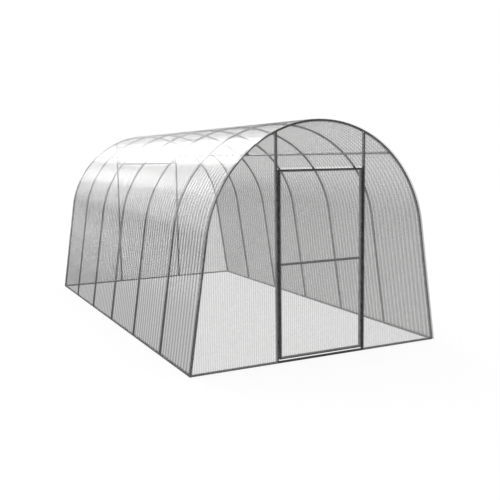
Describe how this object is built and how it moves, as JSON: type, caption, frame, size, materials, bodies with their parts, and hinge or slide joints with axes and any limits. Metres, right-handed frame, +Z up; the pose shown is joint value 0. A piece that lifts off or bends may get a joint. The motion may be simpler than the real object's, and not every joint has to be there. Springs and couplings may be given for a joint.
{
  "type": "arched greenhouse with ribbed sheet cover",
  "caption": "Walk-in arched tunnel greenhouse of bent square steel tube with clear ribbed sheets, a hinged front door and a rear vent.",
  "frame": {"origin": "middle of the plan at ground level", "axes": "+X across the front from left to right, +Y from the front end to the rear end, +Z up"},
  "size_m": [3.0168, 5.712, 2.49],
  "materials": {
    "painted_tube": "satin",
    "ribbed_sheet": "gloss"
  },
  "bodies": {
    "frame": {"cover_sheet_front": "ribbed_sheet", "cover_sheet_middle": "ribbed_sheet", "cover_sheet_rear": "ribbed_sheet", "front_hoop": "painted_tube", "front_left_panel": "ribbed_sheet", "front_left_post": "painted_tube", "front_right_panel": "ribbed_sheet", "front_right_post": "painted_tube", "front_sill": "painted_tube", "front_top_panel": "ribbed_sheet", "hoop_2": "painted_tube", "hoop_3": "painted_tube", "hoop_4": "painted_tube", "hoop_5": "painted_tube", "hoop_6": "painted_tube", "left_ground_rail": "painted_tube", "left_purlin": "painted_tube", "lower_hinge_post_knuckle": "painted_tube", "middle_hinge_post_knuckle": "painted_tube", "rear_hoop": "painted_tube", "rear_left_panel": "ribbed_sheet", "rear_left_post": "painted_tube", "rear_lower_panel": "ribbed_sheet", "rear_right_panel": "ribbed_sheet", "rear_right_post": "painted_tube", "rear_sill": "painted_tube", "rear_top_panel": "ribbed_sheet", "right_ground_rail": "painted_tube", "right_purlin": "painted_tube", "upper_hinge_post_knuckle": "painted_tube", "vent_left_stile": "painted_tube", "vent_lower_rail": "painted_tube", "vent_pivots": "painted_tube", "vent_right_stile": "painted_tube", "vent_sheet": "ribbed_sheet", "vent_upper_rail": "painted_tube"},
    "door": {"door_bottom_rail": "painted_tube", "door_left_stile": "painted_tube", "door_middle_rail": "painted_tube", "door_right_stile": "painted_tube", "door_sheet": "ribbed_sheet", "door_top_rail": "painted_tube", "lower_hinge_door_knuckle": "painted_tube", "middle_hinge_door_knuckle": "painted_tube", "upper_hinge_door_knuckle": "painted_tube"}
  },
  "joints": [
    {"name": "door_hinge", "type": "hinge", "parent": "frame", "child": "door", "pos_m": [-0.51, -2.8425, 1], "axis": [0, 0, -1], "range_deg": [0, 110]}
  ]
}
